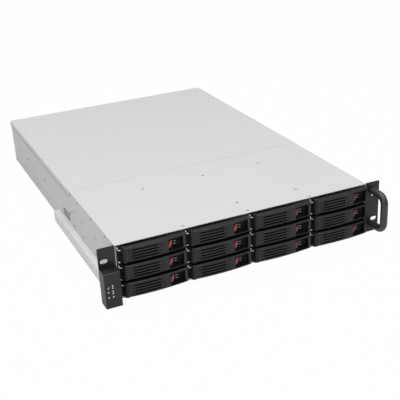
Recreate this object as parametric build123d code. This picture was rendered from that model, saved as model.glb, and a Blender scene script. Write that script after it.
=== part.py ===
from build123d import *
import os
from math import sqrt

# A two-unit rackmount server chassis with twelve front drive trays, in millimetres.
# X runs to the right as seen from the front, Y to the rear and Z up.
# The origin is at mid-width, on the front plane of the rack ears, at the underside.

# Body of folded sheet
BODY_WIDTH = 430.0
BODY_HEIGHT = 88.0
BODY_DEPTH = 650.0
SHEET = 1.0
BEND = 1.6
SEAM_Y = 224.0
SEAM_GAP = 0.5
TOP_FLANGE = 9.0
TOP_FLANGE_START = 6.0
COVER_LAP = 9.5
COVER_CLEARANCE = 0.2
COVER_EDGE = 0.8
REAR_FLANGE = 12.0

# Slide rail holes in the side walls, placed from the rear, and the vent slots behind the seam
RAIL_HOLE = 4.2
RAIL_HOLE_Z = 45.0
RAIL_HOLE_YS = (66.0, 127.0, 251.0, 417.0)
WALL_SLOT_LENGTH = 40.0
WALL_SLOT_HEIGHT = 4.0
WALL_SLOT_Y = 34.0
WALL_SLOT_ZS = (29.0, 36.5)

# Rack ears
EAR_WIDTH = 26.3
EAR_SHEET = 2.0
EAR_FLANGE = 22.0
EAR_FLANGE_LOW = 21.0
EAR_FLANGE_HIGH = 76.0
EAR_SLOT_LENGTH = 12.0
EAR_SLOT_HEIGHT = 7.0
EAR_SLOT_INSET = 8.75
EAR_SLOT_PITCH = 44.45
EAR_SLOT_LOW = 22.225
EAR_CORNER = 1.0

# Handle of the right ear
HANDLE_BAR = 12.0
HANDLE_REACH = 34.0
HANDLE_BEND = 14.0
HANDLE_INSET = 14.5
HANDLE_X_INSET = 12.6

# Control box on the left ear and its buttons and lenses
BOX_DEPTH = 20.0
BOX_HEIGHT = 57.0
BOX_WIDTH = 25.0
BOX_WALL = 1.6
BOX_EDGE = 1.0
BUTTON_INSET = 5.2
POWER_BUTTON = 5.0
POWER_Z = 34.0
RESET_BUTTON = 2.6
RESET_Z = 12.0
BUTTON_FIT = 0.3
BUTTON_PROUD = 0.5
BUTTON_LENGTH = 5.0
LENS_SIZE = 1.8
LENS_LEFT_ZS = (27.0, 18.5)
LENS_RIGHT_ZS = (36.5, 33.0, 27.5, 24.0, 18.5)
LENS_RIGHT_INSET = 12.0

# Cable duct along the lower left side
DUCT_WIDTH = 10.0
DUCT_HEIGHT = 20.0
DUCT_END_Y = 311.0
CABLE_HOLE = 12.0

# Drive cells
COLUMNS = 4
ROWS = 3
DIVIDER = 1.0
CAGE_FRONT = 0.5
CAGE_DEPTH = 171.0
LEDGE = 1.0
LEDGE_REACH = 4.0
CROSS_STRIP = 5.0
LINER_STRIP = 5.0

# Drive tray
TRAY_SHEET = 1.0
TRAY_GAP = 1.0
TRAY_LIFT = 0.1
TRAY_HEADROOM = 2.5
TRAY_WINDOW_SIDE = 12.0
TRAY_WINDOW_END = 18.0

# Tray front
BEZEL_GAP = 4.2
BEZEL_CROWN = 3.5
BEZEL_TOP_EDGE = 1.0
BEZEL_LOW_EDGE = 2.2
BACK_PLATE = 1.5
POST_WIDTH = 4.2
LEDGE_TOP = 2.6
LEDGE_LOW = 3.0
HOUSING_WIDTH = 7.6
HOUSING_RECESS = 5.0
RECESS_WIDTH = 16.3
CLIP_SHEET = 0.9
CLIP_REACH = 5.2
CLIP_DROP = 5.8
CLIP_BEND = 4.0
CLIP_PROUD = 1.8
CLIP_TAB = 3.2

# Ejector lever and its hinge
PIVOT_INSET = 9.5
NOSE_RADIUS = 3.3
SOCKET_FIT = 0.15
SOCKET_WALL = 1.2
SOCKET_SEAT = 1.05
SOCKET_BACK = 42.0
SOCKET_FRONT = 216.0
LEVER_GAP = 0.3
LEVER_BACK = 3.9
LEVER_SKIN = 1.7
LEVER_WALL = 2.0
GRILLE_INSET = 10.2
GRILLE_END = 16.1
GRILLE_SLOTS = 4
GRILLE_PITCH = 4.6
GRILLE_SLOT = 2.3
GROOVE_LENGTH = 6.5
GROOVE_DEPTH = 0.6

# Release latch beside the lever
LATCH_WIDTH = 4.4
LATCH_HEIGHT = 13.5
LATCH_LEAN = 20.0
LATCH_FIT = 0.25
LATCH_INSET = 1.6
LATCH_SET_BACK = 3.5
LATCH_EDGE = 0.4
LATCH_TRAVEL = 2.0
LATCH_FLOOR = 1.0

# Backplane and its connectors
BOARD = 1.6
BOARD_MARGIN = 2.0
PLANE_VENT_RISE = 2.0
PLANE_VENT_HEIGHT = 8.0
CONNECTOR_WIDTH = 42.0
CONNECTOR_HEIGHT = 7.0
CONNECTOR_DEPTH = 8.0
CONNECTOR_FLOOR = 2.6
CONNECTOR_RIM = 2.0
CONNECTOR_Z = 5.0

# Fan wall
FANS = 4
FAN_SIZE = 80.0
FAN_DEPTH = 38.0
FAN_BORE = 76.0
FAN_SET_BACK = 10.0
FAN_TIP_GAP = 1.2
FAN_HUB = 36.0
FAN_BLADES = 7
FAN_BLADE = 1.6
FAN_BLADE_ROOT = 20.0
FAN_BLADE_TIP = 27.0
FAN_BLADE_PITCH = 38.0
MOTOR_PLATE = 3.0
STRUT_WIDTH = 4.0
SHAFT_RADIUS = 1.5
SHAFT_FIT = 0.06
FAN_RUN_GAP = 0.5
FAN_ROOT = 1.0
BRACKET_LIP = 8.0

# Rear panel
SUPPLY_WIDTH = 76.0
SUPPLY_DEPTH = 200.0
SUPPLY_INSET = 8.0
SUPPLY_HEADROOM = 2.0
PORT_WIDTH = 158.75
PORT_HEIGHT = 44.45
PORT_RISE = 3.0
PORT_MARGIN = 24.0
CARD_MARGIN = 8.0
CARD_SLOTS = 7
CARD_PITCH = 20.32
CARD_WIDTH = 12.0
CARD_RISE = 14.0
CARD_HEIGHT = 60.0
BLANK_WIDTH = 18.4
BLANK_HEIGHT = 68.0
BLANK_SHEET = 0.9
BLANK_TAB = 11.0
VENT_SLOTS = 14
VENT_SLOT = 4.5
VENT_MARGIN = 6.0
TAB_WIDTH = 14.0
TAB_HEIGHT = 14.0
TAB_INSET = 9.0
THUMB_HEAD = 9.0
THUMB_LENGTH = 6.0
THUMB_EDGE = 0.8

# Standoffs for the main board, placed from its rear corner
STANDOFF_HEIGHT = 6.35
STANDOFF_FLATS = 6.0
BOARD_HOLES_X = (0.0, 157.48, 281.94)
BOARD_HOLES_Y = (0.0, 154.94, 217.17)
BOARD_EDGE = 6.35
BOARD_REAR_GAP = 12.0

# Worked out from the sizes above
HALF = BODY_WIDTH / 2
INNER = HALF - SHEET
ROOF = BODY_HEIGHT - SHEET
COLUMN_PITCH = 2 * INNER / COLUMNS
ROW_PITCH = (ROOF - SHEET) / ROWS
EAR_EDGE = HALF + EAR_WIDTH
CAGE_BACK = CAGE_DEPTH - SHEET
TRAY_DEPTH = CAGE_DEPTH - CONNECTOR_DEPTH
BEZEL_REACH = 2 * NOSE_RADIUS + SOCKET_FIT + SOCKET_WALL + SOCKET_SEAT
BEZEL_LOW = BEZEL_GAP / 2
BEZEL_HIGH = ROW_PITCH - BEZEL_GAP / 2
BEZEL_MID = ROW_PITCH / 2
TRAY_LEFT = DIVIDER / 2 + TRAY_GAP
TRAY_RIGHT = COLUMN_PITCH - TRAY_LEFT
PIVOT_U = TRAY_LEFT + PIVOT_INSET
PIVOT_Y = NOSE_RADIUS - BEZEL_REACH
RECESS_END = TRAY_RIGHT - POST_WIDTH
RECESS_START = RECESS_END - RECESS_WIDTH
HOUSING_START = RECESS_START - HOUSING_WIDTH
LEVER_END = HOUSING_START - LEVER_GAP
FAN_FRONT = SEAM_Y + FAN_SET_BACK
FAN_PITCH = 2 * INNER / FANS
FAN_Z = SHEET + FAN_SIZE / 2
ROTOR_RADIUS = FAN_BORE / 2 - FAN_TIP_GAP
REAR_INNER = BODY_DEPTH - SHEET
SUPPLY_RIGHT = INNER - SUPPLY_INSET
SUPPLY_LEFT = SUPPLY_RIGHT - SUPPLY_WIDTH
SUPPLY_TOP = ROOF - SUPPLY_HEADROOM
PORT_RIGHT = SUPPLY_LEFT - PORT_MARGIN
PORT_LEFT = PORT_RIGHT - PORT_WIDTH
CARD_FIRST = PORT_LEFT - CARD_MARGIN - CARD_PITCH / 2
FAR = 1000.0


def block(x0, x1, y0, y1, z0, z1):
    """A box between two corners."""
    centre = Pos((x0 + x1) / 2, (y0 + y1) / 2, (z0 + z1) / 2)
    return centre * Box(x1 - x0, y1 - y0, z1 - z0)


def upright(radius, x, y, z0, z1):
    """A cylinder along Z."""
    return Pos(x, y, (z0 + z1) / 2) * Cylinder(radius, z1 - z0)


def rod_along_y(radius, x, z, y0, y1):
    """A cylinder along Y."""
    return Pos(x, (y0 + y1) / 2, z) * Rot(90, 0, 0) * Cylinder(radius, y1 - y0)


def rod_along_x(radius, y, z, x0, x1):
    """A cylinder along X."""
    return Pos((x0 + x1) / 2, y, z) * Rot(0, 90, 0) * Cylinder(radius, x1 - x0)


def mirrored(shape):
    """The same piece on the other side of mid-width."""
    return mirror(shape, about=Plane.YZ)


def save(name, shape):
    """Write one named piece."""
    export_step(shape, f"parts/{name}.step")


def wall_holes():
    """Cutters for the slide rail holes and the two vent slots of both side walls."""
    cutters = [rod_along_x(RAIL_HOLE / 2, BODY_DEPTH - y, RAIL_HOLE_Z, -FAR, FAR) for y in RAIL_HOLE_YS]
    for z in WALL_SLOT_ZS:
        slot = SlotOverall(WALL_SLOT_LENGTH, WALL_SLOT_HEIGHT)
        place = Plane((0, SEAM_Y + WALL_SLOT_Y, z), x_dir=(0, 1, 0), z_dir=(1, 0, 0))
        cutters.append(extrude(place * slot, FAR, both=True))
    return cutters


def make_base_pan():
    """Floor and two side walls folded from one sheet."""
    outer = block(-HALF, HALF, 0, BODY_DEPTH, 0, ROOF)
    low_edges = outer.edges().filter_by(Axis.Y).group_by(Axis.Z)[0]
    outer = fillet(low_edges, BEND)
    inner = block(-INNER, INNER, -SHEET, FAR, SHEET, FAR)
    cable_hole = rod_along_x(CABLE_HOLE / 2, DUCT_END_Y - CABLE_HOLE, DUCT_HEIGHT / 2, -FAR, 0)
    return outer - inner - wall_holes() - cable_hole


def make_front_top_panel():
    """Fixed roof over the drives, with flanges inside the walls."""
    end = SEAM_Y - SEAM_GAP / 2
    roof = block(-HALF, HALF, 0, end, ROOF, BODY_HEIGHT)
    flange = block(INNER - SHEET, INNER, TOP_FLANGE_START, end, ROOF - TOP_FLANGE, ROOF)
    return roof + flange + mirrored(flange)


def cover_tab_places():
    """Middle of each cover tab: beside the last card slot, and between ports and supply."""
    return -HALF + TAB_INSET, SUPPLY_LEFT - PORT_MARGIN / 2


def make_rear_cover():
    """Lift-off roof, with flanges outside the walls and two screw tabs at the rear."""
    start = SEAM_Y + SEAM_GAP / 2
    reach = HALF + COVER_CLEARANCE + SHEET
    roof = block(-reach, reach, start, BODY_DEPTH, ROOF, BODY_HEIGHT)
    flange = block(reach - SHEET, reach, start, BODY_DEPTH, BODY_HEIGHT - COVER_LAP, ROOF)
    cover = roof + flange + mirrored(flange)
    long_edges = cover.edges().filter_by(Axis.Y).group_by(Axis.Z)[-1]
    cover = fillet(long_edges, COVER_EDGE)
    tab_back = BODY_DEPTH + COVER_CLEARANCE + SHEET
    for x in cover_tab_places():
        left = x - TAB_WIDTH / 2
        right = x + TAB_WIDTH / 2
        cover += block(left, right, tab_back - SHEET, tab_back, BODY_HEIGHT - TAB_HEIGHT, BODY_HEIGHT)
        cover += block(left, right, BODY_DEPTH, tab_back, ROOF, BODY_HEIGHT)
    return cover


def make_thumbscrews():
    """Two captive screws on the cover's tabs."""
    front = BODY_DEPTH + COVER_CLEARANCE + SHEET
    z = BODY_HEIGHT - TAB_HEIGHT / 2
    screw = rod_along_y(THUMB_HEAD / 2, 0, z, front, front + THUMB_LENGTH)
    screw = chamfer(screw.edges().group_by(Axis.Y)[-1], THUMB_EDGE)
    return [Pos(x, 0, 0) * screw for x in cover_tab_places()]


def vent_cutters():
    """Upright slots over the port opening."""
    low = SHEET + PORT_RISE + PORT_HEIGHT + VENT_MARGIN
    high = ROOF - VENT_MARGIN
    pitch = PORT_WIDTH / VENT_SLOTS
    first = PORT_LEFT + pitch / 2
    return [block(first + pitch * i - VENT_SLOT / 2, first + pitch * i + VENT_SLOT / 2, 0, FAR, low, high)
            for i in range(VENT_SLOTS)]


def card_places():
    """Middle of each expansion slot."""
    return [CARD_FIRST - CARD_PITCH * i for i in range(CARD_SLOTS)]


def make_rear_panel():
    """Rear wall with its flanges and the openings for supply, ports, cards and air."""
    panel = block(-INNER, INNER, REAR_INNER, BODY_DEPTH, SHEET, ROOF)
    flange = block(INNER - SHEET, INNER, BODY_DEPTH - REAR_FLANGE, REAR_INNER, SHEET, ROOF)
    panel += [flange, mirrored(flange)]
    supply = block(SUPPLY_LEFT, SUPPLY_RIGHT, 0, FAR, SHEET, SUPPLY_TOP)
    port_low = SHEET + PORT_RISE
    ports = block(PORT_LEFT, PORT_RIGHT, 0, FAR, port_low, port_low + PORT_HEIGHT)
    cards = [block(x - CARD_WIDTH / 2, x + CARD_WIDTH / 2, 0, FAR, CARD_RISE, CARD_RISE + CARD_HEIGHT)
             for x in card_places()]
    return panel - supply - ports - cards - vent_cutters()


def make_slot_blanks():
    """A bent blank behind each expansion slot opening."""
    low = CARD_RISE - (BLANK_HEIGHT - CARD_HEIGHT) / 2
    top = low + BLANK_HEIGHT
    blanks = []
    for x in card_places():
        left = x - BLANK_WIDTH / 2
        right = x + BLANK_WIDTH / 2
        plate = block(left, right, REAR_INNER - BLANK_SHEET, REAR_INNER, low, top)
        plate += block(left, right, REAR_INNER - BLANK_TAB, REAR_INNER, top - BLANK_SHEET, top)
        blanks.append(plate)
    return blanks


def make_supply_bay():
    """Sheet cage that guides two power supply modules, one above the other."""
    left = SUPPLY_LEFT - SHEET
    right = SUPPLY_RIGHT + SHEET
    front = REAR_INNER - SUPPLY_DEPTH
    top = SUPPLY_TOP + SHEET
    cage = block(left, right, front, REAR_INNER, SHEET, top)
    middle = (SHEET + SUPPLY_TOP) / 2
    lower = block(left + SHEET, right - SHEET, -FAR, FAR, 2 * SHEET, middle - SHEET / 2)
    upper = block(left + SHEET, right - SHEET, -FAR, FAR, middle + SHEET / 2, SUPPLY_TOP)
    return cage - lower - upper


def make_left_ear():
    """Ear plate with a flange along the side wall."""
    edge = EAR_EDGE - EAR_SLOT_INSET
    plate = block(HALF, EAR_EDGE, 0, EAR_SHEET, 0, BODY_HEIGHT)
    corners = plate.edges().filter_by(Axis.Y).group_by(Axis.X)[-1]
    plate = fillet(corners, EAR_CORNER)
    plate += block(HALF, HALF + EAR_SHEET, 0, EAR_FLANGE, EAR_FLANGE_LOW, EAR_FLANGE_HIGH)
    slot = SlotOverall(EAR_SLOT_LENGTH, EAR_SLOT_HEIGHT)
    for z in (EAR_SLOT_LOW, EAR_SLOT_LOW + EAR_SLOT_PITCH):
        plate -= extrude(Plane((edge, 0, z), x_dir=(1, 0, 0), z_dir=(0, 1, 0)) * slot, FAR, both=True)
    return mirrored(plate)


def make_ear_handle():
    """Round bar bent to a bow and set on the right ear."""
    x = HALF + HANDLE_X_INSET
    low = HANDLE_INSET
    high = BODY_HEIGHT - HANDLE_INSET
    path = FilletPolyline((x, 0, low), (x, -HANDLE_REACH, low), (x, -HANDLE_REACH, high), (x, 0, high),
                          radius=HANDLE_BEND)
    section = Plane((x, 0, low), z_dir=(0, -1, 0)) * Circle(HANDLE_BAR / 2)
    return sweep(section, path)


def box_left():
    """Left face of the control box."""
    return -EAR_EDGE


def lens_places():
    """Middle of each indicator lens on the control box."""
    places = [(box_left() + BUTTON_INSET, z) for z in LENS_LEFT_ZS]
    places += [(box_left() + LENS_RIGHT_INSET, z) for z in LENS_RIGHT_ZS]
    return places


def button_places():
    """Place and radius of the power and reset buttons."""
    x = box_left() + BUTTON_INSET
    return ((x, POWER_Z, POWER_BUTTON / 2), (x, RESET_Z, RESET_BUTTON / 2))


def make_control_box():
    """Moulded shell, open at the back, with holes for buttons and lenses."""
    left = box_left()
    shell = block(left, left + BOX_WIDTH, -BOX_DEPTH, 0, 0, BOX_HEIGHT)
    shell = chamfer(shell.faces().sort_by(Axis.Y)[0].edges(), BOX_EDGE)
    shell -= block(left + BOX_WALL, left + BOX_WIDTH - BOX_WALL, -BOX_DEPTH + BOX_WALL, FAR,
                   BOX_WALL, BOX_HEIGHT - BOX_WALL)
    for x, z, radius in button_places():
        shell -= rod_along_y(radius + BUTTON_FIT, x, z, -FAR, 0)
    half = LENS_SIZE / 2
    for x, z in lens_places():
        shell -= block(x - half, x + half, -FAR, 0, z - half, z + half)
    return shell


def make_button(x, z, radius):
    """Round cap that stands a little proud of the box."""
    front = -BOX_DEPTH - BUTTON_PROUD
    return rod_along_y(radius, x, z, front, front + BUTTON_LENGTH)


def make_lenses():
    """Square lenses flush with the face of the control box."""
    half = LENS_SIZE / 2
    back = -BOX_DEPTH + BOX_WALL
    return [block(x - half, x + half, -BOX_DEPTH, back, z - half, z + half) for x, z in lens_places()]


def make_cable_duct():
    """Channel that covers the control cable on the left wall, closed at its rear end."""
    outer = block(-HALF - DUCT_WIDTH, -HALF, EAR_SHEET, DUCT_END_Y, 0, DUCT_HEIGHT)
    inner = block(-HALF - DUCT_WIDTH + SHEET, -HALF + SHEET, -FAR, DUCT_END_Y - SHEET, SHEET,
                  DUCT_HEIGHT - SHEET)
    return outer - inner


def cell_corner(number):
    """Left edge and floor of a drive cell, numbered along each row from the top left."""
    row, column = divmod(number, COLUMNS)
    return -INNER + column * COLUMN_PITCH, SHEET + (ROWS - 1 - row) * ROW_PITCH


def in_cell(shape, number):
    """Move a piece from cell coordinates to its drive cell."""
    x, z = cell_corner(number)
    return Pos(x, 0, z) * shape


def make_drive_cage():
    """Dividers and side liners with tray ledges, tied by two cross strips, each a welded strip of sheet."""
    half = DIVIDER / 2
    strips = [block(-INNER, INNER, CAGE_BACK, CAGE_DEPTH, SHEET, SHEET + CROSS_STRIP),
              block(-INNER + SHEET, INNER - SHEET, CAGE_BACK, CAGE_DEPTH, ROOF - CROSS_STRIP, ROOF)]
    for column in range(1, COLUMNS):
        x = -INNER + column * COLUMN_PITCH
        strips.append(block(x - half, x + half, CAGE_FRONT, CAGE_BACK, SHEET, ROOF))
    liner = block(INNER - half, INNER, CAGE_FRONT, CAGE_BACK, SHEET, ROOF - TOP_FLANGE)
    end = block(INNER - half, INNER, CAGE_FRONT, CAGE_FRONT + LINER_STRIP, ROOF - TOP_FLANGE, ROOF)
    strips += [liner, end, mirrored(liner), mirrored(end)]
    for number in range(COLUMNS * ROWS):
        left_ledge = block(half, LEDGE_REACH, CAGE_FRONT, CAGE_BACK, 0, LEDGE)
        right_ledge = block(COLUMN_PITCH - LEDGE_REACH, COLUMN_PITCH - half, CAGE_FRONT, CAGE_BACK, 0, LEDGE)
        strips += [in_cell(left_ledge, number), in_cell(right_ledge, number)]
    return strips


def bow_radius():
    """Radius of the tray front in plan."""
    chord = (TRAY_RIGHT - TRAY_LEFT) / 2
    return (chord ** 2 + BEZEL_CROWN ** 2) / (2 * BEZEL_CROWN)


def bow_front(u):
    """Front of the bowed tray face at one place across the cell."""
    radius = bow_radius()
    centre_y = -BEZEL_REACH - BEZEL_CROWN + radius
    return centre_y - sqrt(radius ** 2 - (u - COLUMN_PITCH / 2) ** 2)


def bezel_blank():
    """Bowed front block of a tray, from which its visible pieces are cut."""
    front = ThreePointArc((TRAY_LEFT, -BEZEL_REACH), (COLUMN_PITCH / 2, -BEZEL_REACH - BEZEL_CROWN),
                          (TRAY_RIGHT, -BEZEL_REACH))
    back = Polyline((TRAY_RIGHT, -BEZEL_REACH), (TRAY_RIGHT, 0), (TRAY_LEFT, 0), (TRAY_LEFT, -BEZEL_REACH))
    plan = make_face([front, back])
    blank = Pos(0, 0, BEZEL_LOW) * extrude(plan, BEZEL_HIGH - BEZEL_LOW)
    arcs = blank.edges().filter_by(GeomType.CIRCLE).sort_by(Axis.Z)
    blank = chamfer(arcs[-1], BEZEL_TOP_EDGE)
    arcs = blank.edges().filter_by(GeomType.CIRCLE).sort_by(Axis.Z)
    return chamfer(arcs[0], BEZEL_LOW_EDGE)


def grille_rows():
    """Height of each grille slot in the cell."""
    first = BEZEL_MID - GRILLE_PITCH * (GRILLE_SLOTS - 1) / 2
    return [first + GRILLE_PITCH * i for i in range(GRILLE_SLOTS)]


def make_lever(blank):
    """Ejector lever: bowed face, round nose, grooved and slotted grille, hollow back."""
    lever = blank & block(PIVOT_U, LEVER_END, -FAR, -LEVER_BACK, 0, ROW_PITCH)
    lever += upright(NOSE_RADIUS, PIVOT_U, PIVOT_Y, BEZEL_LOW, BEZEL_HIGH)
    grille_left = PIVOT_U + GRILLE_INSET
    grille_right = LEVER_END - GRILLE_END
    lever -= block(grille_left - LEVER_WALL, LEVER_END - LEVER_WALL, LEVER_SKIN - BEZEL_REACH, 0,
                   BEZEL_LOW + LEVER_WALL, BEZEL_HIGH - LEVER_WALL)
    half = GRILLE_SLOT / 2
    groove_floor = Pos(0, GROOVE_DEPTH, 0) * blank
    for z in grille_rows():
        groove = block(grille_left - GROOVE_LENGTH, grille_right + GROOVE_LENGTH, -FAR, -LEVER_BACK,
                       z - half, z + half)
        lever -= groove - groove_floor
        lever -= block(grille_left, grille_right, -FAR, 0, z - half, z + half)
    return lever


def make_socket():
    """Curved wall of the tray that holds the lever's round nose, with its web."""
    inner = NOSE_RADIUS + SOCKET_FIT
    outer = inner + SOCKET_WALL
    sweep_angle = SOCKET_FRONT - SOCKET_BACK
    outline = [CenterArc((0, 0), outer, SOCKET_BACK, sweep_angle),
               CenterArc((0, 0), inner, SOCKET_BACK, sweep_angle)]
    outline += [Line(outline[0] @ end, outline[1] @ end) for end in (0, 1)]
    wall = extrude(make_face(outline), BEZEL_HIGH - BEZEL_LOW)
    socket = Pos(PIVOT_U, PIVOT_Y, BEZEL_LOW) * wall
    web_front = PIVOT_Y + inner + SOCKET_WALL / 2
    return socket + block(PIVOT_U - NOSE_RADIUS, PIVOT_U, web_front, -BACK_PLATE / 2, BEZEL_LOW, BEZEL_HIGH)


def latch_outline(growth):
    """Lens shape of the latch, seen from the front."""
    half_height = LATCH_HEIGHT / 2 + growth
    half_width = LATCH_WIDTH / 2 + growth
    right = ThreePointArc((0, -half_height), (half_width, 0), (0, half_height))
    left = ThreePointArc((0, half_height), (-half_width, 0), (0, -half_height))
    return make_face([right, left])


def latch_prism(front, back, growth):
    """The latch outline extruded along Y at its place in the cell."""
    u = HOUSING_START + LATCH_INSET + LATCH_WIDTH / 2
    place = Plane((u, back, BEZEL_MID), x_dir=(1, 0, 0), z_dir=(0, -1, 0))
    return extrude(place * Rot(0, 0, -LATCH_LEAN) * latch_outline(growth), back - front)


def latch_front():
    """Front of the latch cap."""
    return bow_front(HOUSING_START) + LATCH_SET_BACK


def latch_back():
    """Back of the latch at rest."""
    return -BACK_PLATE - LATCH_FLOOR - LATCH_TRAVEL


def make_latch():
    """Release latch that is pressed into its housing."""
    latch = latch_prism(latch_front(), latch_back(), 0)
    return chamfer(latch.edges().group_by(Axis.Y)[0], LATCH_EDGE)


def make_clip():
    """Bent steel strip and small tab at the left of the tray front."""
    left = TRAY_LEFT
    low = BEZEL_HIGH - CLIP_DROP
    right = left + CLIP_REACH
    inner = left + CLIP_SHEET
    strip = Polyline((left, BEZEL_HIGH), (left, low), (right, low), (right, low + CLIP_SHEET),
                     (inner, low + CLIP_SHEET), (inner, BEZEL_HIGH), close=True)
    face = make_face(strip)
    outer_corner = face.vertices().sort_by(Axis.Y)[:2].sort_by(Axis.X)[0]
    face = fillet(outer_corner, CLIP_BEND)
    inner_corner = face.vertices().sort_by_distance((inner, low + CLIP_SHEET, 0))[0]
    face = fillet(inner_corner, CLIP_BEND - CLIP_SHEET)
    clip = extrude(Plane((0, -BACK_PLATE, 0), x_dir=(1, 0, 0), z_dir=(0, -1, 0)) * face, CLIP_PROUD)
    tab = block(left, left + CLIP_TAB, -BACK_PLATE - CLIP_PROUD, -BACK_PLATE,
                BEZEL_LOW, BEZEL_LOW + CLIP_SHEET)
    return [clip, tab]


def make_tray_body():
    """Folded sheet tray that holds the drive."""
    floor_z = LEDGE + TRAY_LIFT
    top = ROW_PITCH - TRAY_HEADROOM
    body = block(TRAY_LEFT, TRAY_RIGHT, 0, TRAY_DEPTH, floor_z, top)
    body -= block(TRAY_LEFT + TRAY_SHEET, TRAY_RIGHT - TRAY_SHEET, -FAR, FAR, floor_z + TRAY_SHEET, FAR)
    return body - block(TRAY_LEFT + TRAY_WINDOW_SIDE, TRAY_RIGHT - TRAY_WINDOW_SIDE, TRAY_WINDOW_END,
                        TRAY_DEPTH - TRAY_WINDOW_END, -FAR, FAR)


def make_tray_front(blank):
    """Moulded tray front: plate, lever socket, latch housing and finger recess."""
    back_plate = blank & block(0, FAR, -BACK_PLATE, 0, 0, ROW_PITCH)
    grille_left = PIVOT_U + GRILLE_INSET - LEVER_WALL
    back_plate -= block(grille_left, LEVER_END - LEVER_WALL, -FAR, FAR,
                        BEZEL_LOW + 2 * LEVER_WALL, BEZEL_HIGH - 2 * LEVER_WALL)
    right_post = blank & block(RECESS_END, TRAY_RIGHT, -FAR, 0, 0, ROW_PITCH)
    high_ledge = blank & block(HOUSING_START, RECESS_END, -FAR, 0, BEZEL_HIGH - LEDGE_TOP, ROW_PITCH)
    low_ledge = blank & block(HOUSING_START, RECESS_END, -FAR, 0, 0, BEZEL_LOW + LEDGE_LOW)
    housing_front = bow_front(HOUSING_START) + HOUSING_RECESS
    housing = blank & block(HOUSING_START, RECESS_START, housing_front, 0, 0, ROW_PITCH)
    housing -= latch_prism(-FAR, -BACK_PLATE - LATCH_FLOOR, LATCH_FIT)
    return back_plate + right_post + high_ledge + low_ledge + housing + make_socket()


def make_backplane():
    """Circuit board behind the cage, with an air slot above each connector."""
    left = -INNER + BOARD_MARGIN
    board = block(left, -left, CAGE_DEPTH, CAGE_DEPTH + BOARD, SHEET + BOARD_MARGIN, ROOF - TOP_FLANGE)
    side = (COLUMN_PITCH - CONNECTOR_WIDTH) / 3
    vent_low = CONNECTOR_Z + CONNECTOR_HEIGHT + PLANE_VENT_RISE
    for number in range(COLUMNS * ROWS):
        vent = block(side, COLUMN_PITCH - side, 0, FAR, vent_low, vent_low + PLANE_VENT_HEIGHT)
        board -= in_cell(vent, number)
    return board


def make_connectors():
    """One drive connector for each cell, on the front of the backplane."""
    left = (COLUMN_PITCH - CONNECTOR_WIDTH) / 2
    shell = block(left, left + CONNECTOR_WIDTH, CAGE_DEPTH - CONNECTOR_DEPTH, CAGE_DEPTH,
                  CONNECTOR_Z, CONNECTOR_Z + CONNECTOR_HEIGHT)
    socket = block(left + CONNECTOR_RIM, left + CONNECTOR_WIDTH - CONNECTOR_RIM,
                   0, CAGE_DEPTH - CONNECTOR_FLOOR,
                   CONNECTOR_Z + CONNECTOR_RIM, CONNECTOR_Z + CONNECTOR_HEIGHT - CONNECTOR_RIM)
    return [in_cell(shell - socket, number) for number in range(COLUMNS * ROWS)]


def fan_places():
    """Middle of each fan across the body."""
    return [-INNER + FAN_PITCH * (i + 0.5) for i in range(FANS)]


def make_fan_bracket():
    """Folded wall that carries the fans, open round each of them."""
    back = FAN_FRONT
    front = FAN_FRONT - SHEET
    wall = block(-INNER, INNER, front, back, SHEET, ROOF)
    wall += block(-INNER, INNER, back, back + FAN_DEPTH, SHEET, 2 * SHEET)
    wall += block(-INNER, INNER, front - BRACKET_LIP, front, ROOF - SHEET, ROOF)
    half = FAN_BORE / 2
    middle = FAN_Z + SHEET
    for x in fan_places():
        wall -= block(x - half, x + half, 0, FAN_FRONT, middle - half, middle + half)
    return wall


def fan_strut(angle):
    """One radial arm between the fan frame and its motor plate."""
    back = FAN_FRONT + FAN_DEPTH
    arm = block(FAN_HUB / 2 - FAN_ROOT, FAN_BORE / 2 + FAN_ROOT, back - MOTOR_PLATE, back,
                -STRUT_WIDTH / 2, STRUT_WIDTH / 2)
    return Rot(0, angle, 0) * arm


def make_fan_frame(x):
    """Square fan housing with a round duct, four struts and a motor plate."""
    half = FAN_SIZE / 2
    z = FAN_Z + SHEET
    back = FAN_FRONT + FAN_DEPTH
    frame = block(-half, half, FAN_FRONT, back, -half, half)
    frame -= rod_along_y(FAN_BORE / 2, 0, 0, -FAR, FAR)
    frame += rod_along_y(FAN_HUB / 2, 0, 0, back - MOTOR_PLATE, back)
    frame += [fan_strut(angle) for angle in (45, 135, 225, 315)]
    frame -= rod_along_y(SHAFT_RADIUS + SHAFT_FIT, 0, 0, -FAR, FAR)
    return Pos(x, 0, z) * frame


def fan_blade():
    """One flat pitched blade, from inside the hub to the tip, wider at the tip."""
    low = FAN_HUB / 2 - FAN_ROOT
    high = ROTOR_RADIUS - FAN_BLADE
    outline = Polyline((-FAN_BLADE_ROOT / 2, low), (FAN_BLADE_ROOT / 2, low), (FAN_BLADE_TIP / 2, high),
                       (-FAN_BLADE_TIP / 2, high), close=True)
    blade = extrude(Plane.XZ * make_face(outline), FAN_BLADE / 2, both=True)
    return Rot(0, 0, 90 - FAN_BLADE_PITCH) * blade


def make_fan_rotor(x):
    """Hub, shaft and pitched blades of one fan."""
    front = FAN_FRONT + FAN_RUN_GAP
    back = FAN_FRONT + FAN_DEPTH - MOTOR_PLATE - FAN_RUN_GAP
    middle = (front + back) / 2
    rotor = rod_along_y(FAN_HUB / 2, 0, 0, front, back)
    rotor += [Rot(0, 360 / FAN_BLADES * i, 0) * Pos(0, middle, 0) * fan_blade() for i in range(FAN_BLADES)]
    rotor += rod_along_y(SHAFT_RADIUS, 0, 0, back - FAN_ROOT, FAN_FRONT + FAN_DEPTH)
    return Pos(x, 0, FAN_Z + SHEET) * rotor


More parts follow.
